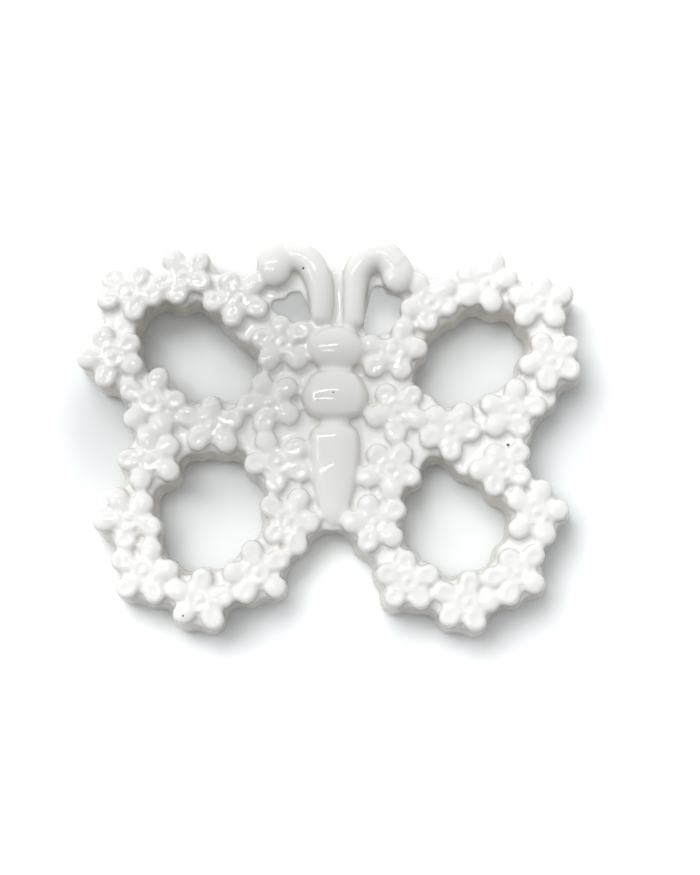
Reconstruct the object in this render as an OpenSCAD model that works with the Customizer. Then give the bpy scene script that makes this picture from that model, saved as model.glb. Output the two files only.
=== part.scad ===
// A flat butterfly of white glazed ceramic that holds itself to a steel door by two magnets.
// It lies on its magnets: +Z out of its face, +Y towards its head, +X to the right of its face.

/* [Wings] */
// Width across the wing tips
wing_w = 90; // [80:1:110]
// Thickness of the pierced wing frame, from its back to the ground between the flowers
frame_t = 6.4; // [4.6:0.1:10]
// Width of the bridges that join neighbouring flowers, as a share of the wings' width
bridge_share = 0.052; // [0.045:0.001:0.066]
// Width of the clay that fills narrow angles between flowers, as a share of the wings' width
fill_share = 0.045; // [0.04:0.001:0.055]
// Ledge of the frame that shows around the petals
ledge = 0.25; // [0.1:0.05:0.6]
// How far the walls under the petals spread from the front of the frame to its back
flare = 0.9; // [0.1:0.1:1]

/* [Flowers] */
// Width of a flower from petal tip to petal tip, as a share of the wings' width
flower_share = 0.12; // [0.1:0.001:0.121]
// Diameter of one petal, as a share of the flower
petal_share = 0.333; // [0.3:0.001:0.34]
// Height of a petal above the frame
petal_h = 2; // [1.5:0.1:3]
// Rise of the rounded top of a petal, as a share of its diameter
petal_crown_share = 0.36; // [0.2:0.01:0.4]
// Diameter of the sunken middle, as a share of the flower
middle_share = 0.52; // [0.45:0.01:0.56]
// Height of the sunken middle, as a share of the petals' height
middle_h_share = 0.55; // [0.3:0.01:0.7]
// Diameter of the bead in the middle, as a share of the flower
bead_share = 0.14; // [0.1:0.01:0.18]

/* [Body] */
// Width of the head, as a share of the wings' width
head_w_share = 0.106; // [0.09:0.001:0.11]
// Length of the head, as a share of the wings' width
head_l_share = 0.084; // [0.07:0.001:0.1]
// Height of the head above the frame
head_h = 3.7; // [2.5:0.1:5]
// Width of the thorax, as a share of the wings' width
thorax_w_share = 0.127; // [0.1:0.001:0.132]
// Length of the thorax, as a share of the wings' width
thorax_l_share = 0.101; // [0.08:0.001:0.11]
// Height of the thorax above the frame
thorax_h = 4.3; // [3:0.1:6]
// Width of the abdomen at its shoulders, as a share of the wings' width
abdomen_w_share = 0.108; // [0.08:0.001:0.113]
// Length of the abdomen, as a share of the wings' width
abdomen_l_share = 0.2; // [0.16:0.001:0.205]
// Height of the abdomen above the frame
abdomen_h = 3.8; // [2.5:0.1:5]
// How far the tip of the abdomen leans to the left, as a share of its length
abdomen_lean_share = 0.028; // [0:0.001:0.05]
// Groove between two segments of the body
groove_w = 0.2; // [0.05:0.05:0.5]

/* [Antennae] */
// Width of an antenna where it leaves the head, as a share of the wings' width
stem_share = 0.045; // [0.035:0.001:0.049]
// Width of the rounded knob at the end of an antenna, as a share of the wings' width
knob_share = 0.056; // [0.046:0.001:0.057]
// Height of an antenna above the frame where it leaves the head
stem_h = 2.5; // [1.5:0.1:3.2]
// Height of the knob above the frame
knob_h = 3.2; // [2:0.1:4]

/* [Magnets] */
// Diameter of one disc magnet
magnet_d = 15; // [10:0.1:15.5]
// Thickness of one disc magnet
magnet_t = 3; // [2:0.1:4]
// Clearance around a magnet in its well
magnet_gap = 0.3; // [0.1:0.05:0.4]
// Thickness of the adhesive between a magnet and the floor of its well
bed_t = 0.3; // [0.1:0.05:0.6]
// How far a magnet stands out of the back
magnet_proud = 1; // [0.4:0.1:1.6]
// Clay left between the wells of the two magnets
web_w = 2.4; // [1.6:0.1:3]

/* [Hidden] */
// Columns of the outermost petals in the photograph, and the row halfway down the butterfly
left_tip_px = 80.2;
right_tip_px = 580.5;
middle_row_px = 433.7;
mm_per_px = (wing_w - 2 * (ledge + flare)) / (right_tip_px - left_tip_px);

// Middles of the flowers of each wing, in pixels of the photograph, and how far each is turned
left_flower_px = [
    [126, 290], [181, 272.5], [237, 296.5], [281, 342], [111, 355],
    [152.5, 402.5], [211.5, 426], [270, 403], [279, 462.5], [151.5, 460],
    [130, 519], [147, 573], [202.5, 599.5], [258.5, 573], [290.5, 522]
];
left_flower_turn = [65, 48, 43, 23, 42, 6, 17, 40, 44, 33, 47, 7, 11, 31, -1];
right_flower_px = [
    [393.5, 350.5], [430.5, 299], [487, 280], [543, 300.5], [552, 360],
    [512, 411], [397, 411], [451, 431.5], [390, 470], [502, 468],
    [535.5, 513], [515, 573], [465, 602], [406.5, 581], [374, 524]
];
right_flower_turn = [7, 50, 4, 17, 44, 10, 50, 60, 57, 41, 5, 43, 7, 18, 34];

// Neighbouring flowers, by their number in the lists above, that a bridge of the frame joins
left_bridges = [
    [1, 2], [2, 3], [3, 4], [1, 5], [5, 6], [6, 7], [7, 8], [8, 4], [6, 10],
    [7, 10], [10, 11], [11, 12], [12, 13], [13, 14], [14, 15], [15, 9], [9, 8]
];
right_bridges = [
    [1, 2], [2, 3], [3, 4], [4, 5], [5, 6], [6, 8], [8, 7], [7, 1], [6, 10],
    [8, 10], [10, 11], [11, 12], [12, 13], [13, 14], [14, 15], [15, 9], [9, 7]
];

// Ground under the body, from the flowers of one wing to those of the other
spine_px = [
    [237, 296.5], [281, 342], [270, 403], [235, 438], [246, 452], [256, 462],
    [279, 462.5], [290.5, 522], [331, 532], [374, 524], [390, 470],
    [411, 470], [421, 453], [440, 445], [397, 411], [393.5, 350.5], [430.5, 299],
    [401, 264], [352, 262], [337, 266], [322, 262], [278, 257]
];
// Narrow angles between flowers that clay fills
fill_px = [[246, 329], [176, 429], [546, 397], [425, 404], [418, 451], [465, 464.5]];
// Small openings between each antenna and its wing
left_eye_px = [
    [271, 300], [276, 297], [284, 297], [290, 290], [299, 289],
    [305, 301], [309, 314], [302, 322], [287, 314], [273, 308]
];
right_eye_px = [
    [371, 290], [376, 283], [382, 284], [384, 291], [407, 297],
    [403, 306], [399, 320], [386, 331], [368, 332], [365, 326]
];

// Middle line of each antenna, from the head to the knob
left_antenna_px = [[321, 320], [319, 293], [311, 268], [295, 250], [276, 258]];
right_antenna_px = [[353, 320], [355, 290], [361, 262], [381, 248.5], [399, 267]];

// Column of the body's middle line, and row of the middle of the thorax
body_column_px = 335;
thorax_row_px = 395;
// How far above the middle of the butterfly the pair of magnets lies, as a share of the wings' width
magnet_lift_share = 0.0175;

petals = 5;
// Where the abdomen is widest along its length, and how much narrower it grows from there to its tip
shoulder_share = 0.2;
taper_share = 0.5;
// How square the abdomen is at its shoulders and tip, and how late it tapers
shoulder_power = 2.4;
tip_power = 6;
taper_power = 1.2;

bridge_w = bridge_share * wing_w;
fill_w = fill_share * wing_w;
flower_d = flower_share * wing_w;
petal_d = petal_share * flower_d;
petal_crown = petal_crown_share * petal_d;
middle_d = middle_share * flower_d;
middle_h = middle_h_share * petal_h;
bead_d = bead_share * flower_d;
head_w = head_w_share * wing_w;
head_l = head_l_share * wing_w;
thorax_w = thorax_w_share * wing_w;
thorax_l = thorax_l_share * wing_w;
abdomen_w = abdomen_w_share * wing_w;
abdomen_l = abdomen_l_share * wing_w;
abdomen_lean = abdomen_lean_share * abdomen_l;
stem_d = stem_share * wing_w;
knob_d = knob_share * wing_w;

ring_r = (flower_d - petal_d) / 2;
crown_r = (pow(petal_d / 2, 2) + pow(petal_crown, 2)) / (2 * petal_crown);
back_z = magnet_proud;
top_z = back_z + frame_t;
well_depth = magnet_t + bed_t - magnet_proud;
overrun = magnet_proud / 2;
well_d = magnet_d + 2 * magnet_gap;

function at(px) = [
    (px[0] - (left_tip_px + right_tip_px) / 2) * mm_per_px,
    (middle_row_px - px[1]) * mm_per_px
];
function turned(r, turn) = [r * cos(turn), r * sin(turn)];
function petal_at(px, turn, i) = at(px) + turned(ring_r, turn + i * 360 / petals);

body_x = at([body_column_px, thorax_row_px])[0];
thorax_y = at([body_column_px, thorax_row_px])[1];
head_y = thorax_y + (thorax_l + head_l) / 2 + groove_w;
abdomen_y = thorax_y - thorax_l / 2 - groove_w;
magnet_ys = [for (side = [1, -1]) magnet_lift_share * wing_w + side * (well_d + web_w) / 2];

// A smooth curve through the points p, at t from 0 to the number of its spans
function curve_at(p, t) =
    let (n = len(p) - 1, i = min(floor(t), n - 1), u = t - i)
    let (a = p[max(i - 1, 0)], b = p[i], c = p[i + 1], d = p[min(i + 2, n)])
    b + u * ((c - a) / 2 + u * ((a - 5 * b / 2 + 2 * c - d / 2) + u * (3 * (b - c) + d - a) / 2));
function unit(v) = v / norm(v);

left_names = [for (i = [1 : len(left_flower_px)]) str("left_flower_", i)];
right_names = [for (i = [1 : len(right_flower_px)]) str("right_flower_", i)];
magnet_names = ["upper", "lower"];
$fn = 48;
abdomen_steps = 20;
abdomen_sides = 16;
antenna_steps = 20;
antenna_sides = 12;
antenna_pads = 5;
knob_steps = 6;

// A half-round strip on the ground: points along its middle, its half widths and its heights
module half_round(points, half_widths, heights, sides) {
    n = len(points);
    m = sides + 1;
    along = [for (i = [0 : n - 1]) unit(points[min(i + 1, n - 1)] - points[max(i - 1, 0)])];
    rings = [
        for (i = [0 : n - 1], k = [0 : sides])
            let (a = 180 * k / sides, w = half_widths[i] * cos(a))
            [points[i][0] + along[i][1] * w, points[i][1] - along[i][0] * w, top_z + heights[i] * sin(a)]
    ];
    skin = [
        for (i = [0 : n - 2], k = [0 : sides - 1])
            let (a = i * m + k)
            each [[a, a + 1, a + m], [a + 1, a + m + 1, a + m]]
    ];
    underside = [
        for (i = [0 : n - 2])
            let (a = i * m)
            each [[a, a + m, a + sides], [a + m, a + m + sides, a + sides]]
    ];
    ends = [[for (k = [sides : -1 : 0]) k], [for (k = [0 : sides]) (n - 1) * m + k]];
    polyhedron(points = rings, faces = concat(skin, underside, ends));
}

// A round post of the frame with a drafted wall, where something of radius r stands on it
module post(place, r) {
    translate(place) cylinder(r1 = r + flare, r2 = r, h = frame_t);
}

// The ground that a flower stands on
module pad(px, turn) {
    post(at(px), ring_r);
    for (i = [0 : petals - 1]) {
        post(petal_at(px, turn, i), petal_d / 2 + ledge);
    }
}

module bridge(a, b) {
    side = bridge_w / 2 * unit([a[1] - b[1], b[0] - a[0]]);
    linear_extrude(height = frame_t) polygon([a + side, b + side, b - side, a - side]);
}

// The ground under the body
module spine() {
    linear_extrude(height = frame_t) polygon([for (px = spine_px) at(px)]);
}

// A small opening beside an antenna, cut right through the frame
module eye(outline) {
    translate([0, 0, back_z - overrun]) {
        linear_extrude(height = frame_t + 2 * overrun) polygon([for (px = outline) at(px)]);
    }
}

// The ground that an antenna stands on
module antenna_ground(px) {
    line = antenna_line(px);
    for (i = [0 : antenna_steps / antenna_pads : antenna_steps]) {
        post(line[i], antenna_half_width(i) + ledge);
    }
}

module ground() {
    for (i = [0 : len(left_flower_px) - 1]) {
        pad(left_flower_px[i], left_flower_turn[i]);
    }
    for (i = [0 : len(right_flower_px) - 1]) {
        pad(right_flower_px[i], right_flower_turn[i]);
    }
    for (pair = left_bridges) {
        bridge(at(left_flower_px[pair[0] - 1]), at(left_flower_px[pair[1] - 1]));
    }
    for (pair = right_bridges) {
        bridge(at(right_flower_px[pair[0] - 1]), at(right_flower_px[pair[1] - 1]));
    }
    for (px = fill_px) {
        post(at(px), fill_w / 2);
    }
    spine();
    antenna_ground(left_antenna_px);
    antenna_ground(right_antenna_px);
}

module wing_frame() {
    color("whitesmoke") difference() {
        translate([0, 0, back_z]) ground();
        eye(left_eye_px);
        eye(right_eye_px);
        for (y = magnet_ys) {
            translate([body_x, y, back_z - overrun]) cylinder(d = well_d, h = well_depth + overrun);
        }
    }
}

module petal() {
    intersection() {
        cylinder(d = petal_d, h = petal_h);
        translate([0, 0, petal_h - crown_r]) sphere(r = crown_r);
    }
}

module flower(px, turn) {
    color("white") {
        for (i = [0 : petals - 1]) {
            translate(concat(petal_at(px, turn, i), top_z)) petal();
        }
        translate(concat(at(px), top_z)) cylinder(d = middle_d, h = middle_h);
        translate(concat(at(px), top_z + middle_h)) sphere(d = bead_d);
    }
}

// A dome on the ground with a round or long base
module dome(y, w, l, h) {
    translate([body_x, y, top_z]) intersection() {
        scale([w / 2, l / 2, h]) sphere(r = 1);
        translate([-w, -l, 0]) cube([2 * w, 2 * l, 2 * h]);
    }
}

module head() {
    color("white") dome(head_y, head_w, head_l, head_h);
}

module thorax() {
    color("white") dome(thorax_y, thorax_w, thorax_l, thorax_h);
}

// Fullness of the abdomen along its length: round shoulders, then a taper to a blunt tip
function abdomen_share(t) =
    let (rise = 1 - min(t / shoulder_share, 1), fall = max(t - shoulder_share, 0) / (1 - shoulder_share))
    let (shoulders = sqrt(1 - pow(rise, shoulder_power)), tip = sqrt(1 - pow(fall, tip_power)))
    shoulders * tip * (1 - taper_share * pow(fall, taper_power));

module abdomen() {
    steps = [for (i = [0 : abdomen_steps]) (1 - cos(180 * i / abdomen_steps)) / 2];
    color("white") half_round(
        [for (t = steps) [body_x - abdomen_lean * t, abdomen_y - abdomen_l * t]],
        [for (t = steps) abdomen_w / 2 * abdomen_share(t)],
        [for (t = steps) abdomen_h * abdomen_share(t)],
        abdomen_sides
    );
}

function antenna_line(px) =
    let (points = [for (p = px) at(p)], spans = len(px) - 1)
    [for (i = [0 : antenna_steps]) curve_at(points, i * spans / antenna_steps)];
function antenna_half_width(i) = (stem_d + (knob_d - stem_d) * i / antenna_steps) / 2;
function antenna_height(i) = stem_h + (knob_h - stem_h) * i / antenna_steps;

module antenna(px) {
    line = antenna_line(px);
    end = line[antenna_steps];
    ahead = unit(end - line[antenna_steps - 1]);
    turns = [for (k = [1 : knob_steps]) 90 * k / knob_steps];
    half_round(
        concat(line, [for (a = turns) end + ahead * knob_d / 2 * sin(a)]),
        concat([for (i = [0 : antenna_steps]) antenna_half_width(i)], [for (a = turns) knob_d / 2 * cos(a)]),
        concat([for (i = [0 : antenna_steps]) antenna_height(i)], [for (a = turns) knob_h * cos(a)]),
        antenna_sides
    );
}

module left_antenna() {
    color("white") antenna(left_antenna_px);
}

module right_antenna() {
    color("white") antenna(right_antenna_px);
}

module magnet(y) {
    color("dimgray") translate([body_x, y, 0]) cylinder(d = magnet_d, h = magnet_t);
}

module magnet_bed(y) {
    color("khaki") translate([body_x, y, magnet_t]) cylinder(d = magnet_d, h = bed_t);
}

wing_frame();
head();
thorax();
abdomen();
left_antenna();
right_antenna();
for (i = [0 : len(left_names) - 1]) {
    flower(left_flower_px[i], left_flower_turn[i]);
}
for (i = [0 : len(right_names) - 1]) {
    flower(right_flower_px[i], right_flower_turn[i]);
}
for (i = [0 : len(magnet_names) - 1]) {
    magnet(magnet_ys[i]);
    magnet_bed(magnet_ys[i]);
}
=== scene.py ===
import math
import random

import bmesh
import bpy
from mathutils import Euler, Matrix, Vector


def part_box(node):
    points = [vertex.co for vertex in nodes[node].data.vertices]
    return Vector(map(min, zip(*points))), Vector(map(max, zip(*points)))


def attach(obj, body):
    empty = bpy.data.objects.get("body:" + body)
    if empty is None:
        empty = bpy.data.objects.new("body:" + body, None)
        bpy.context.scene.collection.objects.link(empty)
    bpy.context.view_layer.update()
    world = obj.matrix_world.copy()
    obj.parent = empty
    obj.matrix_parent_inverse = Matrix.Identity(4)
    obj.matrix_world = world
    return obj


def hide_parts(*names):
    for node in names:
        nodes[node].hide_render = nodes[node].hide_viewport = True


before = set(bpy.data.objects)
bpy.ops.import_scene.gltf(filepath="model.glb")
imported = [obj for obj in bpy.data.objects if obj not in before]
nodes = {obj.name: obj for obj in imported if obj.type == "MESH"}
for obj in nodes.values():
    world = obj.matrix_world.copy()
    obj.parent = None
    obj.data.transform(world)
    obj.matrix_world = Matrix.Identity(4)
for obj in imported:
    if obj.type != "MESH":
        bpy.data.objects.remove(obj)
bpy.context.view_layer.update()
mm = 0.001

hair = 0.001 * mm  # no distance that matters

# How the photograph lies on the butterfly's face
photo = {"middleColumn": 330.35, "middleRow": 433.7, "mmPerPixel": 0.1753, "rows": 875}

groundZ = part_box("wing_frame")[1].z  # the front of the frame, which carries the flowers
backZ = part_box("wing_frame")[0].z
bodyX = (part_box("thorax")[0].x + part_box("thorax")[1].x) / 2


def onFace(pixel, height=0.0):
    # a place on the ground, or so many mm above it, given by its pixel in the photograph
    x = (pixel[0] - photo["middleColumn"]) * photo["mmPerPixel"] * mm
    y = (photo["middleRow"] - pixel[1]) * photo["mmPerPixel"] * mm
    return Vector((x, y, groundZ + height * mm))


# Small helpers for working as by hand


def pickOnly(obj):
    bpy.ops.object.select_all(action="DESELECT")
    obj.select_set(True)
    bpy.context.view_layer.objects.active = obj


def selectPoints(obj, isWanted):
    # leaves obj in edit mode with the wanted points selected
    pickOnly(obj)
    bpy.ops.object.mode_set(mode="EDIT")
    bpy.ops.mesh.select_mode(type="VERT")
    bpy.ops.mesh.select_all(action="DESELECT")
    work = bmesh.from_edit_mesh(obj.data)
    for point in work.verts:
        point.select = isWanted(point.co)
    work.select_flush(True)
    bmesh.update_edit_mesh(obj.data)


def doneEditing():
    bpy.ops.object.mode_set(mode="OBJECT")


def roundStart(name, place, halfSizes, segments=32, rings=16):
    # a ball that is squashed in edit mode, so that its object stays at the origin
    bpy.ops.object.select_all(action="DESELECT")
    bpy.ops.mesh.primitive_uv_sphere_add(segments=segments, ring_count=rings, radius=1)
    obj = bpy.context.object
    obj.name = name
    selectPoints(obj, lambda co: True)
    bpy.ops.transform.resize(value=[half * mm for half in halfSizes], center_override=(0, 0, 0))
    bpy.ops.transform.translate(value=place)
    doneEditing()
    return obj


def squareStart(name, place, halfSizes, roundness, cuts=23):
    # a box turned part of the way into a ball, for full domes
    bpy.ops.object.select_all(action="DESELECT")
    bpy.ops.mesh.primitive_cube_add(size=2)
    obj = bpy.context.object
    obj.name = name
    selectPoints(obj, lambda co: True)
    bpy.ops.mesh.subdivide(number_cuts=cuts)
    bpy.ops.transform.tosphere(value=roundness)
    doneEditing()
    reach = [max(abs(point.co[i]) for point in obj.data.vertices) for i in range(3)]
    selectPoints(obj, lambda co: True)
    sizes = [half * mm / far for half, far in zip(halfSizes, reach)]
    bpy.ops.transform.resize(value=sizes, center_override=(0, 0, 0))
    bpy.ops.transform.translate(value=place)
    doneEditing()
    return obj


def finishWith(obj, kind, name, **settings):
    pickOnly(obj)
    modifier = obj.modifiers.new(name, kind)
    for key, value in settings.items():
        setattr(modifier, key, value)
    bpy.ops.object.modifier_apply(modifier=modifier.name)


def copyAt(source, name, matrix):
    obj = source.copy()
    obj.data = source.data.copy()
    obj.name = name
    bpy.context.scene.collection.objects.link(obj)
    obj.data.transform(matrix)
    return obj


def joinAll(name, parts):
    bpy.ops.object.select_all(action="DESELECT")
    for part in parts:
        part.select_set(True)
    bpy.context.view_layer.objects.active = parts[0]
    bpy.ops.object.join()
    parts[0].name = name
    return parts[0]


def swell(obj, distances, cell):
    # moves the skin out and in again, so that narrow grooves fill, with even cells before and after each move
    for distance in distances:
        finishWith(obj, "REMESH", "evenCells", mode="VOXEL", voxel_size=cell * mm)
        finishWith(obj, "DISPLACE", "swell", strength=distance * mm, mid_level=0)
    finishWith(obj, "REMESH", "evenCells", mode="VOXEL", voxel_size=cell * mm)


# Flowers: the middle and the five petals of each, in pixels of the photograph

flowerPlaces = {
    "left_flower_1": [(126, 290), (110, 277), (136, 273), (150, 294), (132, 308), (106, 297)],
    "left_flower_2": [(181, 272), (171, 256), (197, 258), (198, 279), (176, 291), (160, 281)],
    "left_flower_3": [(237, 297), (229, 280), (253, 281), (256, 306), (232, 315), (213, 300)],
    "left_flower_4": [(281, 342), (280, 325), (300, 331), (296, 358), (269, 358), (262, 338)],
    "left_flower_5": [(111, 355), (102, 336), (128, 343), (131, 364), (105, 376), (88, 358)],
    "left_flower_6": [(152, 402), (158, 379), (175, 401), (163, 424), (135, 418), (131, 391)],
    "left_flower_7": [(211, 426), (211, 408), (232, 420), (226, 442), (199, 440), (190, 418)],
    "left_flower_8": [(270, 403), (262, 385), (286, 389), (288, 414), (264, 423), (249, 404)],
    "left_flower_9": [(279, 463), (267, 443), (296, 450), (300, 472), (276, 483), (256, 465)],
    "left_flower_10": [(151, 460), (148, 439), (169, 448), (169, 471), (142, 480), (130, 460)],
    "left_flower_11": [(130, 519), (120, 500), (144, 505), (152, 527), (128, 540), (107, 522)],
    "left_flower_12": [(147, 573), (153, 551), (169, 571), (157, 592), (131, 588), (126, 562)],
    "left_flower_13": [(202, 600), (204, 580), (224, 597), (215, 618), (187, 613), (181, 591)],
    "left_flower_14": [(258, 573), (253, 553), (279, 561), (276, 587), (248, 592), (236, 573)],
    "left_flower_15": [(290, 522), (272, 508), (299, 501), (309, 523), (297, 544), (276, 534)],
    "right_flower_1": [(393, 350), (403, 328), (416, 347), (401, 368), (375, 366), (372, 344)],
    "right_flower_2": [(430, 299), (419, 281), (446, 285), (447, 304), (428, 319), (412, 306)],
    "right_flower_3": [(487, 280), (496, 260), (508, 276), (493, 299), (471, 293), (470, 272)],
    "right_flower_4": [(543, 300), (544, 284), (564, 292), (556, 315), (527, 314), (522, 295)],
    "right_flower_5": [(552, 360), (543, 343), (569, 346), (570, 369), (548, 380), (531, 364)],
    "right_flower_6": [(512, 411), (516, 390), (535, 407), (520, 427), (496, 426), (492, 405)],
    "right_flower_7": [(397, 411), (387, 395), (411, 396), (416, 419), (396, 433), (377, 417)],
    "right_flower_8": [(451, 431), (462, 414), (469, 432), (451, 451), (431, 438), (437, 417)],
    "right_flower_9": [(390, 470), (378, 456), (401, 456), (409, 477), (392, 490), (369, 478)],
    "right_flower_10": [(502, 468), (495, 456), (518, 454), (519, 477), (494, 486), (480, 471)],
    "right_flower_11": [(535, 513), (517, 502), (540, 492), (556, 511), (543, 534), (518, 529)],
    "right_flower_12": [(515, 573), (508, 561), (531, 557), (531, 583), (508, 594), (492, 578)],
    "right_flower_13": [(465, 602), (468, 583), (486, 602), (473, 620), (449, 616), (444, 593)],
    "right_flower_14": [(406, 581), (405, 562), (427, 576), (419, 598), (395, 597), (387, 575)],
    "right_flower_15": [(374, 524), (369, 507), (394, 512), (391, 537), (368, 542), (353, 523)],
}

petalShape = {
    "tipRadius": 1.95,  # the round outer end of a petal, in mm
    "spread": 1.06,  # how much further out it stands than the middle of its glaze shows
    "innerLength": 3.4,  # how far it runs from there towards the middle of the flower
    "waist": 0.85,  # how narrow it is at its inner end, and from which share of that length on
    "waistFrom": 0.4,
    "height": 1.7,
    "edge": 1.0,  # radius of its rim
    "inset": 0.26,  # width of each of the steps from its rim to the crown or hollow of its top
    "crown": 0.16,  # swelling of a full petal's top, and the hollow of a pressed one
    "hollow": 0.16,
    "pressedShare": 0.5,
    "rise": 0.04,  # all petals rise a little towards their tips, in radians
    "unevenTilt": 0.06,
    "unevenHeight": 0.22,
    "seed": 23,
}
middleShape = {
    "radius": 2.3,
    "height": 1.55,
    "edge": 0.4,
    "inset": 0.5,
    "dish": 0.22,  # depth of the dish in its top
    "bead": 0.85,  # radius of the bead in the dish
    "beadHeight": 0.9,
}


def drumStart(name, radius, height, edge, sides=32, rimSteps=5):
    # a round slab that stands half in the ground, with a rounded upper rim
    bpy.ops.object.select_all(action="DESELECT")
    bpy.ops.mesh.primitive_cylinder_add(vertices=sides, radius=radius * mm, depth=2 * height * mm)
    drum = bpy.context.object
    drum.name = name
    selectPoints(drum, lambda co: co.z > 0)
    bpy.ops.mesh.bevel(offset=edge * mm, segments=rimSteps)
    doneEditing()
    return drum


def pressTop(drum, height, inset, depth, steps=(0.7, 0.3)):
    # pushes the flat top in, or lifts it where depth is below zero; two steps make it round
    pickOnly(drum)
    bpy.ops.object.mode_set(mode="EDIT")
    bpy.ops.mesh.select_mode(type="FACE")
    bpy.ops.mesh.select_all(action="DESELECT")
    work = bmesh.from_edit_mesh(drum.data)
    level, top = 0.99, 0.98 * height * mm
    for face in work.faces:
        face.select = face.normal.z > level and face.calc_center_median().z > top
    bmesh.update_edit_mesh(drum.data)
    for share in steps:
        bpy.ops.mesh.inset(thickness=inset * mm)
        bpy.ops.transform.translate(value=(0, 0, -share * depth * mm))
    doneEditing()


def modelPetal(name, depth):
    # its tip points along x
    shape = petalShape
    petal = drumStart(name, shape["tipRadius"], shape["height"], shape["edge"])
    pressTop(petal, shape["height"], shape["inset"], depth)
    stretch = shape["innerLength"] / shape["tipRadius"]
    selectPoints(petal, lambda co: co.x < -hair)
    bpy.ops.transform.resize(value=(stretch, 1, 1), center_override=(0, 0, 0))
    doneEditing()
    selectPoints(petal, lambda co: co.x < -shape["waistFrom"] * shape["innerLength"] * mm)
    bpy.ops.transform.resize(value=(1, shape["waist"], 1), center_override=(0, 0, 0))
    doneEditing()
    return petal


def modelFlowers():
    shape = petalShape
    fullPetal = modelPetal("fullPetal", -shape["crown"])
    pressedPetal = modelPetal("pressedPetal", shape["hollow"])
    middle = drumStart("middle", middleShape["radius"], middleShape["height"], middleShape["edge"])
    pressTop(middle, middleShape["height"], middleShape["inset"], middleShape["dish"])
    bead = roundStart("bead", (0, 0, middleShape["beadHeight"] * mm), [middleShape["bead"]] * 3, 16, 10)
    hand = random.Random(shape["seed"])
    parts = []
    for name, pixels in flowerPlaces.items():
        centre = onFace(pixels[0])
        parts.append(copyAt(middle, name + "Middle", Matrix.Translation(centre)))
        parts.append(copyAt(bead, name + "Bead", Matrix.Translation(centre)))
        for i, pixel in enumerate(pixels[1:]):
            outwards = (onFace(pixel) - centre) * shape["spread"]
            place = centre + outwards
            tilt = Euler((
                hand.uniform(-1, 1) * shape["unevenTilt"],
                hand.uniform(-1, 1) * shape["unevenTilt"] - shape["rise"],
                0,
            )).to_matrix().to_4x4()
            turn = Matrix.Rotation(math.atan2(outwards.y, outwards.x), 4, "Z")
            place.z -= hand.uniform(0, 1) * shape["unevenHeight"] * mm
            petal = pressedPetal if hand.random() < shape["pressedShare"] else fullPetal
            parts.append(copyAt(petal, name + "Petal" + str(i + 1), Matrix.Translation(place) @ turn @ tilt))
    for start in (fullPetal, pressedPetal, middle, bead):
        bpy.data.objects.remove(start)
    return parts


# Body: three domes whose middles stand a little above the ground, so that their sides fall steeply to it

bodyShape = {
    "lift": 0.5,  # of the middles, in mm
    "swelling": 0.3,  # what the soft glaze takes off their sides again, in mm
}
headShape = {
    "roundness": 1.0,  # 1 for a ball, 0 for a box
    "shift": (0.2, -0.3),  # to the right and towards the thorax, in mm
}
thoraxShape = {
    "roundness": 0.8,
    "sides": 0.1,  # how much lower its sides are than its middle
    "front": 0.88,  # how narrow it is towards the head
    "slabs": 5,
    "softening": 12,
}
abdomenShape = {
    "roundness": 0.6,
    "sides": 0.3,
    "tailStart": 0.15,  # share of its length before the tail
    "taper": 0.5,  # how much narrower the tail gets, and how slowly that starts
    "taperCurve": 1.15,
    "tailHeight": 0.42,
    "slabs": 24,
    "softening": 16,
}


def domeFor(node, roundness):
    low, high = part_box(node)
    middle = (low + high) / 2
    lift, swelling = bodyShape["lift"], bodyShape["swelling"]
    halfSizes = [
        (high.x - low.x) / 2 / mm + swelling,
        (high.y - low.y) / 2 / mm + swelling,
        (high.z - low.z) / mm - lift,
    ]
    return squareStart(node + "Dome", (middle.x, middle.y, groundZ + lift * mm), halfSizes, roundness)


def lowerSides(dome, middleX, half, drop, slabs=12):
    for i in range(slabs):
        near = half * i / slabs
        far = half * (i + 1) / slabs if i < slabs - 1 else math.inf
        selectPoints(dome, lambda co: near <= abs(co.x - middleX) < far)
        tall = 1 - drop * ((i + 0.5) / slabs) ** 2
        bpy.ops.transform.resize(value=(1, 1, tall), center_override=(middleX, 0, groundZ))
        doneEditing()


def modelHead():
    head = domeFor("head", headShape["roundness"])
    head.data.transform(Matrix.Translation(Vector((*headShape["shift"], 0)) * mm))
    return head


def modelThorax():
    thorax = domeFor("thorax", thoraxShape["roundness"])
    low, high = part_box("thorax")
    lowerSides(thorax, bodyX, (high.x - low.x) / 2, thoraxShape["sides"])
    centreY = (low.y + high.y) / 2
    slabs = thoraxShape["slabs"]
    for i in range(slabs):
        near = centreY + (high.y - centreY) * i / slabs
        far = near + (high.y - centreY) / slabs if i < slabs - 1 else math.inf
        narrow = 1 - (1 - thoraxShape["front"]) * (i + 1) / slabs
        selectPoints(thorax, lambda co: near < co.y <= far)
        bpy.ops.transform.resize(value=(narrow, 1, 1), center_override=(bodyX, centreY, groundZ))
        doneEditing()
    finishWith(thorax, "SMOOTH", "softThorax", factor=0.5, iterations=thoraxShape["softening"])
    return thorax


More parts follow.
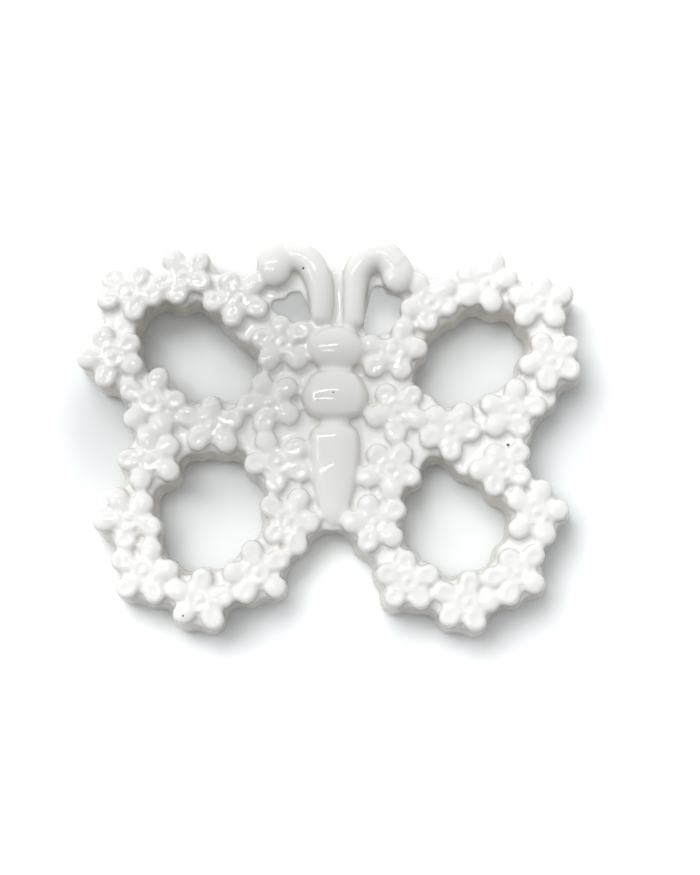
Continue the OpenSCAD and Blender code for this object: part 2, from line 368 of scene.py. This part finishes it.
def modelAbdomen():
    shape = abdomenShape
    abdomen = domeFor("abdomen", shape["roundness"])
    low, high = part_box("abdomen")
    middleX = (low.x + high.x) / 2
    lowerSides(abdomen, middleX, (high.x - low.x) / 2, shape["sides"])
    length = high.y - low.y
    slabs = shape["slabs"]
    for i in range(slabs):
        top = high.y - length * i / slabs
        bottom = high.y - length * (i + 1) / slabs
        tail = max((i + 0.5) / slabs - shape["tailStart"], 0) / (1 - shape["tailStart"])
        wide = 1 - shape["taper"] * tail ** shape["taperCurve"]
        tall = 1 - (1 - shape["tailHeight"]) * tail
        selectPoints(abdomen, lambda co: (co.y < top or i == 0) and (bottom <= co.y or i == slabs - 1))
        centre = (middleX, (top + bottom) / 2, groundZ)
        bpy.ops.transform.resize(value=(wide, 1, tall), center_override=centre)
        doneEditing()
    finishWith(abdomen, "SMOOTH", "softAbdomen", factor=0.5, iterations=shape["softening"])
    return abdomen


# Antennae: a curved roll of clay with a ball at its end

rollShape = {
    "steps": 12,  # between two points of its line
    "sideSteps": 7,
    "knobLift": 0.9,  # of the middle of its knob, in mm
    "knobHeight": 2.25,
}
antennaShapes = {
    # middle line and half widths in pixels of the photograph, heights of the line in mm, and the knob
    "left": {
        "line": [(321, 313), (321, 293), (316, 271), (304, 255), (285, 250)],
        "halfWidths": [12, 13.5, 15, 15, 12],
        "heights": [0.1, 0.2, 0.3, 0.3, 0.3],
        "knob": (274, 261),
        "knobHalf": (18.5, 23.5),
    },
    "right": {
        "line": [(354, 317), (355, 290), (360, 264), (379, 251), (398, 265)],
        "halfWidths": [11.5, 12.5, 15, 16.5, 16.5],
        "heights": [0.1, 0.2, 0.4, 0.5, 0.4],
        "knob": (398, 271),
        "knobHalf": (16.5, 20.5),
    },
}


def modelAntenna(side):
    shape = antennaShapes[side]
    bpy.ops.object.select_all(action="DESELECT")
    bpy.ops.curve.primitive_bezier_curve_add(radius=mm)
    roll = bpy.context.object
    points = roll.data.splines[0].bezier_points
    points.add(len(shape["line"]) - 2)
    for point, pixel, half, height in zip(points, shape["line"], shape["halfWidths"], shape["heights"]):
        point.co = onFace(pixel, height)
        point.handle_left_type = point.handle_right_type = "AUTO"
        point.radius = half * photo["mmPerPixel"]
    roll.data.dimensions = "3D"
    roll.data.resolution_u = rollShape["steps"]
    roll.data.bevel_depth = mm
    roll.data.bevel_resolution = rollShape["sideSteps"]
    roll.data.use_fill_caps = True
    pickOnly(roll)
    bpy.ops.object.convert(target="MESH")
    roll = bpy.context.object
    footHalf = shape["halfWidths"][0] * photo["mmPerPixel"]
    foot = roundStart(side + "Foot", onFace(shape["line"][0], shape["heights"][0]), [footHalf] * 3)
    knobHalf = [half * photo["mmPerPixel"] for half in shape["knobHalf"]] + [rollShape["knobHeight"]]
    knob = roundStart(side + "Knob", onFace(shape["knob"], rollShape["knobLift"]), knobHalf)
    return joinAll(side + "Antenna", [roll, foot, knob])


# Slip that fills narrow pits between neighbours: places in the photograph, half sizes in mm

slipShape = {
    "places": [(303, 346), (365, 357), (174, 413), (460, 286), (315, 329)],
    "halfSizes": (1.1, 1.1, 1.0),
}


def modelSlip():
    halfSizes = slipShape["halfSizes"]
    return [roundStart("slip", onFace(pixel), halfSizes, 16, 10) for pixel in slipShape["places"]]


# One glaze over all the clay: the pieces are joined, the grooves between them fill, and all edges soften

glazeShape = {
    "grain": 0.22,  # size of the mesh's cells in mm while it forms
    "pooling": 0.33,  # radius of the glaze that fills the grooves, in mm
    "wobble": 0.18,  # how far the hand-shaped flowers stray, and over what length, in mm
    "wobbleLength": 1.3,
    # west, north, east and south edges of what stays smooth, in pixels: the body and the antennae
    "calm": [(300, 225, 370, 535), (250, 225, 420, 322)],
    "softening": 5,
    "triangles": 190000,
}


def modelGlaze(clay):
    skin = joinAll("glazedButterfly", clay)
    pickOnly(skin)
    swell(skin, (glazeShape["pooling"], -glazeShape["pooling"]), glazeShape["grain"])
    clouds = bpy.data.textures.new("handShaped", "CLOUDS")
    clouds.noise_scale = glazeShape["wobbleLength"] * mm
    calm = [(onFace((west, south)), onFace((east, north))) for west, north, east, south in glazeShape["calm"]]
    hand = skin.vertex_groups.new(name="handShaped")
    uneven = [
        point.index for point in skin.data.vertices
        if not any(low.x < point.co.x < high.x and low.y < point.co.y < high.y for low, high in calm)
    ]
    hand.add(uneven, 1.0, "REPLACE")
    finishWith(
        skin, "DISPLACE", "wobble", texture=clouds, strength=glazeShape["wobble"] * mm, mid_level=0.5,
        vertex_group=hand.name,
    )
    finishWith(skin, "SMOOTH", "soften", factor=0.5, iterations=glazeShape["softening"])
    print("glaze skin", len(skin.data.polygons), "faces")
    # the thinned skin keeps the gloss of the dense one
    dense = copyAt(skin, "denseGlaze", Matrix.Identity(4))
    pickOnly(dense)
    bpy.ops.object.shade_smooth()
    share = min(1, glazeShape["triangles"] / (2 * len(skin.data.polygons)))
    finishWith(skin, "DECIMATE", "thin", ratio=share, use_collapse_triangulate=True)
    pickOnly(skin)
    bpy.ops.object.shade_smooth()
    finishWith(
        skin, "DATA_TRANSFER", "keepGloss", object=dense, use_loop_data=True,
        data_types_loops={"CUSTOM_NORMAL"}, loop_mapping="POLYINTERP_NEAREST",
    )
    bpy.data.objects.remove(dense)
    print("glaze skin thinned to", len(skin.data.polygons), "triangles")
    return skin


# The frame: its wells are plugged, the corners between two petals fill with clay, and the wells are cut again

slabShape = {
    "grain": 0.3,  # size of the mesh's cells in mm
    "filling": 1.3,  # radius of the clay that fills the corners, in mm
    "drawnIn": 0.15,  # how far the walls stand back, for the glaze
    "rounding": 8,
    "wellGap": 0.3,  # between a magnet and the wall of its well
    "wellDepth": 2.3,
    "plugMore": 0.2,  # how much wider and deeper than its well a plug is
    "eyeSlant": 0.17,  # how far an eye leans for each mm of depth
}
# the eyes beside the antennae, cut once more after the corners have filled
eyeOutlines = [
    [
        (270, 300), (275, 296), (284, 296), (289, 289), (300, 288),
        (306, 301), (310, 315), (302, 323), (287, 315), (272, 309),
    ],
    [
        (371, 289), (374, 282), (384, 283), (387, 290), (408, 296),
        (405, 307), (400, 321), (387, 332), (367, 333), (364, 326),
    ],
]


def drillsFor(more):
    # one bar for each well, from below the back to the floor of the well
    drills = []
    reach = (slabShape["wellDepth"] + more) * mm
    for side in ("upper", "lower"):
        low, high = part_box(side + "_magnet")
        centre = (low + high) / 2
        radius = (high.x - low.x) / 2 + (slabShape["wellGap"] + more) * mm
        bpy.ops.object.select_all(action="DESELECT")
        bpy.ops.mesh.primitive_cylinder_add(vertices=96, radius=radius, depth=2 * reach)
        drill = bpy.context.object
        drill.data.transform(Matrix.Translation((centre.x, centre.y, backZ)))
        drills.append(drill)
    return joinAll("drills", drills)


def eyeCutters():
    # each goes through the whole slab, with half its thickness to spare at both ends, and leans towards the
    # antennae on its way down
    cutters = []
    eyeReach = (groundZ - backZ) / mm
    slant = slabShape["eyeSlant"]
    for outline in eyeOutlines:
        cutter = bpy.data.objects.new("eyeCutter", bpy.data.meshes.new("eyeCutter"))
        bpy.context.scene.collection.objects.link(cutter)
        shape = bmesh.new()
        start = Vector((0, -slant * eyeReach / 2, 0)) * mm
        shape.faces.new([shape.verts.new(onFace(pixel, eyeReach / 2) + start) for pixel in reversed(outline)])
        shape.to_mesh(cutter.data)
        shape.free()
        selectPoints(cutter, lambda co: True)
        down = (0, slant * eyeReach * 2 * mm, -eyeReach * 2 * mm)
        bpy.ops.mesh.extrude_region_move(TRANSFORM_OT_translate={"value": down})
        bpy.ops.mesh.select_all(action="SELECT")
        bpy.ops.mesh.normals_make_consistent(inside=False)
        doneEditing()
        cutters.append(cutter)
    return cutters


def modelSlab():
    slab = copyAt(nodes["wing_frame"], "frameClay", Matrix.Identity(4))
    slab.parent = None
    pickOnly(slab)
    bpy.ops.object.mode_set(mode="EDIT")
    bpy.ops.mesh.select_all(action="SELECT")
    bpy.ops.mesh.remove_doubles(threshold=2 * hair)
    doneEditing()
    plugs = drillsFor(slabShape["plugMore"])
    selectPoints(plugs, lambda co: co.z < backZ)
    bpy.ops.transform.resize(value=(1, 1, 0), center_override=(0, 0, backZ))
    doneEditing()
    slab = joinAll("frameClay", [slab, plugs])
    swell(slab, (slabShape["filling"], -slabShape["filling"] - slabShape["drawnIn"]), slabShape["grain"])
    finishWith(slab, "SMOOTH", "roundEdges", factor=0.5, iterations=slabShape["rounding"])
    drills = joinAll("drills", [drillsFor(0)] + eyeCutters())
    finishWith(slab, "BOOLEAN", "wells", object=drills, operation="DIFFERENCE", solver="EXACT")
    bpy.data.objects.remove(drills)
    return slab


print("modelling the clay")
clay = [modelSlab()] + modelFlowers() + [modelHead(), modelThorax(), modelAbdomen()]
clay += [modelAntenna("left"), modelAntenna("right")] + modelSlip()
print("glazing")
glazed = modelGlaze(clay)

# Magnets: ground ferrite discs with a small chamfer and chips out of the lower rim

magnetShape = {
    "sides": 96,
    "chamfer": 0.35,
    "chips": 5,
    "chipReach": (0.5, 1.1),  # how far round the rim and up a chip goes, in mm
    "chipHeight": 0.6,
    "chipDepth": 0.22,
    "shallowest": 0.4,  # share of that depth
    "roundBelow": 35,  # edges of fewer degrees look round
    "seed": 5,
}


def modelMagnet(name, node):
    shape = magnetShape
    low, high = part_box(node)
    centre = (low + high) / 2
    radius = (high.x - low.x) / 2
    bpy.ops.object.select_all(action="DESELECT")
    bpy.ops.mesh.primitive_cylinder_add(vertices=shape["sides"], radius=radius, depth=high.z - low.z)
    disc = bpy.context.object
    disc.name = name
    disc.data.transform(Matrix.Translation(centre))
    selectPoints(disc, lambda co: True)
    bpy.ops.mesh.bevel(offset=shape["chamfer"] * mm, segments=2, profile=0.6)
    doneEditing()
    hand = random.Random(shape["seed"] + len(name))
    top = low.z + shape["chipHeight"] * mm
    for chip in range(shape["chips"]):
        angle = hand.uniform(0, 2 * math.pi)
        spot = centre + Vector((math.cos(angle), math.sin(angle), 0)) * radius
        reach = hand.uniform(*shape["chipReach"]) * mm
        selectPoints(disc, lambda co: co.z < top and (co.xy - spot.xy).length < reach)
        inwards = (centre - spot).normalized() * shape["chipDepth"] * mm
        inwards *= hand.uniform(shape["shallowest"], 1)
        bpy.ops.transform.translate(value=(inwards.x, inwards.y, 0))
        doneEditing()
    pickOnly(disc)
    bpy.ops.object.shade_smooth_by_angle(angle=math.radians(shape["roundBelow"]))
    return disc


print("modelling the magnets")
magnets = [modelMagnet(side + "FerriteDisc", side + "_magnet") for side in ("upper", "lower")]

# Finishes


class Wire:
    # a socket that can be reckoned with

    def __init__(self, finish, socket):
        self.finish = finish
        self.socket = socket

    def reckon(self, operation, first, second):
        return self.finish.add("ShaderNodeMath", {"operation": operation}, {0: first, 1: second})

    def __add__(self, other):
        return self.reckon("ADD", self, other)

    def __radd__(self, other):
        return self.reckon("ADD", other, self)

    def __sub__(self, other):
        return self.reckon("SUBTRACT", self, other)

    def __rsub__(self, other):
        return self.reckon("SUBTRACT", other, self)

    def __mul__(self, other):
        return self.reckon("MULTIPLY", self, other)

    def __rmul__(self, other):
        return self.reckon("MULTIPLY", other, self)

    def __gt__(self, other):
        return self.reckon("GREATER_THAN", self, other)


class Finish:
    def __init__(self, name, shelf="materials"):
        self.block = getattr(bpy.data, shelf).new(name)
        self.block.use_nodes = True
        self.tree = self.block.node_tree
        self.tree.nodes.clear()

    def add(self, kind, settings=None, sockets=None, output=0):
        node = self.tree.nodes.new(kind)
        for key, value in (settings or {}).items():
            setattr(node, key, value)
        for key, value in (sockets or {}).items():
            if isinstance(value, Wire):
                self.tree.links.new(value.socket, node.inputs[key])
            else:
                node.inputs[key].default_value = value
        return Wire(self, node.outputs[output])

    def blend(self, factor, first, second):
        return self.add("ShaderNodeMix", {"data_type": "RGBA"}, {0: factor, 6: first, 7: second}, 2)

    def vector(self, operation, first, second, output="Vector"):
        return self.add("ShaderNodeVectorMath", {"operation": operation}, {0: first, 1: second}, output)

    def noise(self, coords, scale, detail, roughness=0.5):
        sockets = {"Vector": coords, "Scale": scale, "Detail": detail, "Roughness": roughness}
        return self.add("ShaderNodeTexNoise", {}, sockets)

    def smooth(self, value, low, high):
        return self.add(
            "ShaderNodeMapRange", {"interpolation_type": "SMOOTHSTEP"},
            {"Value": value, "From Min": low, "From Max": high},
        )

    def bump(self, height, strength, distance):
        return self.add("ShaderNodeBump", {}, {"Strength": strength, "Distance": distance, "Height": height})

    def surface(self, **sockets):
        named = {key.replace("_", " "): value for key, value in sockets.items()}
        shader = self.add("ShaderNodeBsdfPrincipled", {}, named)
        end = self.tree.nodes.new("ShaderNodeOutputMaterial")
        self.tree.links.new(shader.socket, end.inputs["Surface"])
        return self.block


def rgb(red, green, blue):
    return (red, green, blue, 1)


glazeLook = {
    "white": rgb(0.87, 0.87, 0.85),
    "paintedLightGround": rgb(0.9, 0.912, 0.896),  # painted light: lighter on the ground between the flowers than on the raised tops
    "paintedLightGroundTo": (0.3, 1.2),  # how high over the ground that ends, in mm
    "thin": rgb(0.65, 0.615, 0.56),  # partly clay showing through thin glaze on steep sides, partly painted shade on steep sides and in crevices
    "steepTo": (0.05, 0.8),  # how level a side is where that ends
    "creviceReach": 1.5,
    "creviceTo": (0.15, 0.8),  # how open a place is where that ends
    "speck": rgb(0.1, 0.08, 0.07),
    # pinholes and specks in the glaze: place in the photograph, radius in mm
    "pinholes": [
        ((303, 267), 0.22),
        ((508, 445), 0.3),
        ((186, 616), 0.2),
        ((280, 237), 0.2),
        ((333.5, 396), 0.15),
    ],
    "pinholeEdge": (0.6, 1.2),
    "bisque": rgb(0.78, 0.75, 0.69),
    "bisqueDark": rgb(0.72, 0.69, 0.63),
    "bisqueGrain": 2500.0,
    "wipedTo": (0.15, 0.5),  # how high over the back the bare foot ends, in mm
    "waves": 260.0,
    "ripple": 900.0,
    "roughness": 0.28,
    "footRoughness": 0.5,  # on top of that
    "reliefShares": {"ripple": 0.12, "grain": 0.3, "holes": 1.5},
    "reliefStrength": 0.35,
    "reliefDepth": 0.12,
}


def glazeFinish():
    look = glazeLook
    finish = Finish("whiteGlaze")
    coords = finish.add("ShaderNodeTexCoord", output="Object")
    height = finish.add("ShaderNodeSeparateXYZ", {}, {0: coords}, 2)

    def heightOver(ground, span):
        return finish.smooth(height, ground + span[0] * mm, ground + span[1] * mm)

    around = {"samples": 8, "only_local": True}
    openness = finish.add("ShaderNodeAmbientOcclusion", around, {"Distance": look["creviceReach"] * mm}, "AO")
    # painted light: the ground between the flowers is made lighter than the raised tops, as if more light
    # fell there
    colour = finish.blend(heightOver(groundZ, look["paintedLightGroundTo"]), look["paintedLightGround"], look["white"])
    normal = finish.add("ShaderNodeNewGeometry", output="Normal")
    level = finish.add("ShaderNodeSeparateXYZ", {}, {0: normal}, 2)
    # partly clay showing through the thin glaze, partly painted shade: steep sides and crevices that the
    # occlusion finds get the darker colour
    coveredAndUnshaded = finish.smooth(level, *look["steepTo"]) * finish.smooth(openness, *look["creviceTo"])
    colour = finish.blend(coveredAndUnshaded, look["thin"], colour)
    # pinholes go through the glaze on the face only
    flat = finish.vector("MULTIPLY", coords, (1, 1, 0))
    inner, outer = look["pinholeEdge"]
    holes = 0.0
    for pixel, radius in look["pinholes"]:
        spot = onFace(pixel)
        spot.z = 0
        away = finish.vector("DISTANCE", flat, spot, "Value")
        hole = 1 - finish.smooth(away, radius * inner * mm, radius * outer * mm)
        holes = finish.add("ShaderNodeMath", {"operation": "MAXIMUM"}, {0: holes, 1: hole})
    holes = holes * (height > groundZ - mm)
    colour = finish.blend(holes, colour, look["speck"])
    # the foot is wiped clean of glaze
    foot = 1 - heightOver(backZ, look["wipedTo"])
    grain = finish.noise(coords, look["bisqueGrain"], 3.0)
    colour = finish.blend(foot, colour, finish.blend(grain, look["bisque"], look["bisqueDark"]))
    shares = look["reliefShares"]
    waves = finish.noise(coords, look["waves"], 1.5)
    ripple = finish.noise(coords, look["ripple"], 1.0)
    relief = waves + ripple * shares["ripple"] + foot * grain * shares["grain"] - holes * shares["holes"]
    return finish.surface(
        Base_Color=colour,
        Roughness=look["roughness"] + foot * look["footRoughness"],
        Coat_Weight=1 - foot,
        Coat_Roughness=0.02,
        Coat_IOR=1.5,
        Specular_IOR_Level=0.0,
        Normal=finish.bump(relief, look["reliefStrength"], look["reliefDepth"] * mm),
    )


ferriteLook = {
    "dark": rgb(0.035, 0.035, 0.038),
    "light": rgb(0.085, 0.083, 0.085),
    "grain": 3000.0,
    "scratches": 900.0,
    "scratchShare": 0.3,
    "roughness": (0.45, 0.2),  # least, and what the grain adds
}


def ferriteFinish():
    look = ferriteLook
    finish = Finish("groundFerrite")
    coords = finish.add("ShaderNodeTexCoord", output="Object")
    grain = finish.noise(coords, look["grain"], 4.0, 0.6)
    scratches = finish.add(
        "ShaderNodeTexWave", {"bands_direction": "DIAGONAL"},
        {"Vector": coords, "Scale": look["scratches"], "Distortion": 6.0, "Detail": 3.0},
    )
    return finish.surface(
        Base_Color=finish.blend(grain, look["dark"], look["light"]),
        Metallic=0.35,
        Roughness=look["roughness"][0] + grain * look["roughness"][1],
        Normal=finish.bump(grain + scratches * look["scratchShare"], 0.3, 0.03 * mm),
    )


epoxyLook = {
    "clear": rgb(0.62, 0.55, 0.38),
    "milky": rgb(0.76, 0.7, 0.54),
    "clouds": 500.0,
    "roughness": (0.2, 0.2),  # least, and what the clouds add
}


def epoxyFinish():
    look = epoxyLook
    finish = Finish("curedEpoxy")
    coords = finish.add("ShaderNodeTexCoord", output="Object")
    cloud = finish.noise(coords, look["clouds"], 3.0)
    return finish.surface(
        Base_Color=finish.blend(cloud, look["clear"], look["milky"]),
        Roughness=look["roughness"][0] + cloud * look["roughness"][1],
        Coat_Weight=0.4,
        Normal=finish.bump(cloud, 0.2, 0.05 * mm),
    )


def dress(obj, material):
    obj.data.materials.clear()
    obj.data.materials.append(material)


print("dressing the pieces")
dress(glazed, glazeFinish())
clayNodes = [name for name in nodes if "magnet" not in name]
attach(glazed, "root")
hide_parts(*clayNodes)
ferrite = ferriteFinish()
for magnet, side in zip(magnets, ("upper", "lower")):
    dress(magnet, ferrite)
    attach(magnet, "root")
    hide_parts(side + "_magnet")
epoxy = epoxyFinish()
for side in ("upper", "lower"):
    dress(nodes[side + "_magnet_bed"], epoxy)

# Table, light and camera

# places and half sizes of the table's ovals are in metres
floorLook = {
    "half": 2.0,
    "thrown": rgb(0.7, 0.715, 0.72),  # what the table throws back on the butterfly
    "seen": rgb(1.12, 1.15, 1.16),  # and what the camera sees of it, which is white where no shadow falls
    "under": rgb(0.98, 1.015, 1.025),  # painted shade: darker under the butterfly, where its openings show the table
    "underHalf": (0.044, 0.034),
    "underEdge": (0.98, 1.25),  # from and to how many half sizes its rim runs
    # painted shade and light in soft patches: place, half size and share
    "paintedShadeAndLightPatches": [
        ((-0.041, 0.004), (0.012, 0.015), 0.84),  # left of the wings
        ((0.0, -0.0235), (0.017, 0.014), 1.38),  # between the lower wings
        ((0.0255, 0.0125), (0.018, 0.015), 0.93),  # in the opening of the right forewing
        ((0.047, 0.012), (0.012, 0.014), 0.9),  # right of the wings
    ],
    "paintedShadeAndLightPatchEdge": (0.1, 1.3),
    # painted light: a glow on the table inside the two deep eyes beside the antennae, standing in for the
    # light that reaches it there
    "paintedLightInEyes": rgb(0.38, 0.395, 0.4),
    "eyesPlace": (0.0012, 0.0241),
    "eyesHalf": (0.016, 0.0065),
    "eyesEdge": (0.8, 1.1),
}


def modelFloor():
    look = floorLook
    bpy.ops.object.select_all(action="DESELECT")
    bpy.ops.mesh.primitive_plane_add(size=2 * look["half"])
    floor = bpy.context.object
    floor.name = "tableTop"
    finish = Finish("paleTable")
    kinds = ("Camera", "Glossy", "Transmission")
    rays = [finish.add("ShaderNodeLightPath", output="Is " + kind + " Ray") for kind in kinds]
    seen = rays[0] + rays[1] + rays[2]
    coords = finish.add("ShaderNodeTexCoord", output="Object")

    def outside(place, half, edge):
        # 0 inside an oval on the table and 1 outside it
        apart = finish.vector("SUBTRACT", coords, (*place, 0))
        oval = finish.vector("MULTIPLY", apart, (1 / half[0], 1 / half[1], 0))
        away = finish.add("ShaderNodeVectorMath", {"operation": "LENGTH"}, {0: oval}, "Value")
        return finish.smooth(away, *edge)

    # painted shade on the table under the butterfly
    table = finish.blend(outside((0, 0), look["underHalf"], look["underEdge"]), look["under"], look["seen"])
    # painted shade and light: each patch darkens or lightens the table
    for place, half, share in look["paintedShadeAndLightPatches"]:
        paintedShadeAndLightPatch = share + (1 - share) * outside(place, half, look["paintedShadeAndLightPatchEdge"])
        table = finish.add("ShaderNodeVectorMath", {"operation": "SCALE"}, {0: table, "Scale": paintedShadeAndLightPatch})
    colour = finish.blend(seen, look["thrown"], table)
    # painted light: the table glows inside the eyes
    eyes = seen * (1 - outside(look["eyesPlace"], look["eyesHalf"], look["eyesEdge"]))
    paintedEyeLight = finish.blend(eyes, rgb(0, 0, 0), look["paintedLightInEyes"])
    dress(floor, finish.surface(
        Base_Color=colour, Roughness=1.0, Specular_IOR_Level=0.0, Emission_Color=paintedEyeLight, Emission_Strength=1.0
    ))


lampLooks = {
    # place in metres, size across and along, power in watts
    "northPanel": {"place": (-0.32, 0.36, 0.7), "size": (0.7, 0.6), "power": 6.3, "tube": False},
    # the tubes hang level, and only the gloss shows them
    "northTube": {"place": (-0.28, 0.16, 0.55), "size": (0.65, 0.014), "power": 1.4, "tube": True},
    "southTube": {"place": (-0.28, -0.06, 0.55), "size": (0.5, 0.008), "power": 0.5, "tube": True},
    "westTube": {"place": (-0.5, 0.1, 0.5), "size": (0.008, 0.5), "power": 0.55, "tube": True},
}


def hangLamps():
    for name, look in lampLooks.items():
        lamp = bpy.data.lights.new(name, "AREA")
        lamp.shape = "RECTANGLE"
        lamp.size, lamp.size_y = look["size"]
        lamp.energy = look["power"]
        obj = bpy.data.objects.new(name, lamp)
        bpy.context.scene.collection.objects.link(obj)
        obj.location = look["place"]
        if not look["tube"]:
            obj.rotation_euler = Vector(look["place"]).to_track_quat("Z", "Y").to_euler()
        obj.visible_camera = False
        obj.visible_diffuse = not look["tube"]
        obj.visible_glossy = look["tube"]


flagLook = {
    "half": (0.028, 0.0145),
    "place": (-0.031, 0.03, 0.057),
    "corners": 48,
    "colour": rgb(0.02, 0.02, 0.02),
}


def hangFlag():
    # a small black card over the left forewing, unseen itself, which shades the middle of the face a little
    bpy.ops.object.select_all(action="DESELECT")
    bpy.ops.mesh.primitive_circle_add(vertices=flagLook["corners"], radius=1, fill_type="NGON")
    flag = bpy.context.object
    flag.name = "lampFlag"
    selectPoints(flag, lambda co: True)
    bpy.ops.transform.resize(value=(*flagLook["half"], 1), center_override=(0, 0, 0))
    bpy.ops.transform.translate(value=flagLook["place"])
    doneEditing()
    flag.visible_camera = flag.visible_glossy = False
    dress(flag, Finish("blackCard").surface(Base_Color=flagLook["colour"], Roughness=1.0))


roomLook = {
    "colour": rgb(1.0, 1.0, 1.0),
    "north": 0.62,  # how bright it is towards the far side of the table, and on the near side
    "south": 0.4,
    "span": (-0.8, 0.5),
    "mirrored": 0.6,  # and as the glaze mirrors it
}


def paintRoom():
    look = roomLook
    room = Finish("whiteRoom", "worlds")
    glossy = room.add("ShaderNodeLightPath", output="Is Glossy Ray")
    way = room.add("ShaderNodeTexCoord", output="Generated")
    northwards = room.smooth(room.add("ShaderNodeSeparateXYZ", {}, {0: way}, 1), *look["span"])
    lit = look["south"] + (look["north"] - look["south"]) * northwards
    strength = lit + glossy * (look["mirrored"] - lit)
    walls = room.add("ShaderNodeBackground", {}, {"Color": look["colour"], "Strength": strength})
    end = room.tree.nodes.new("ShaderNodeOutputWorld")
    room.tree.links.new(walls.socket, end.inputs["Surface"])
    bpy.context.scene.world = room.block


cameraPlace = {
    "distance": 350,  # in mm
    "tilt": 9.0,
    "aim": (350, 437.5),  # the middle of the photograph
    "sensor": 24.0,
    "nearest": 0.01,  # in metres
    "farthest": 20,
}


def placeCamera():
    look = cameraPlace
    aim = onFace(look["aim"])
    tilt = math.radians(look["tilt"])
    towards = Vector((0, -math.sin(tilt), math.cos(tilt)))
    camera = bpy.data.cameras.new("photoCamera")
    camera.sensor_fit = "VERTICAL"
    camera.sensor_height = look["sensor"]
    camera.lens = look["sensor"] * look["distance"] / (photo["rows"] * photo["mmPerPixel"])
    camera.clip_start = look["nearest"]
    camera.clip_end = look["farthest"]
    obj = bpy.data.objects.new("photoCamera", camera)
    bpy.context.scene.collection.objects.link(obj)
    obj.location = aim + towards * look["distance"] * mm
    obj.rotation_euler = towards.to_track_quat("Z", "Y").to_euler()
    bpy.context.scene.camera = obj


print("lighting the table")
modelFloor()
hangLamps()
hangFlag()
paintRoom()
placeCamera()
bpy.context.scene.view_settings.view_transform = "Standard"
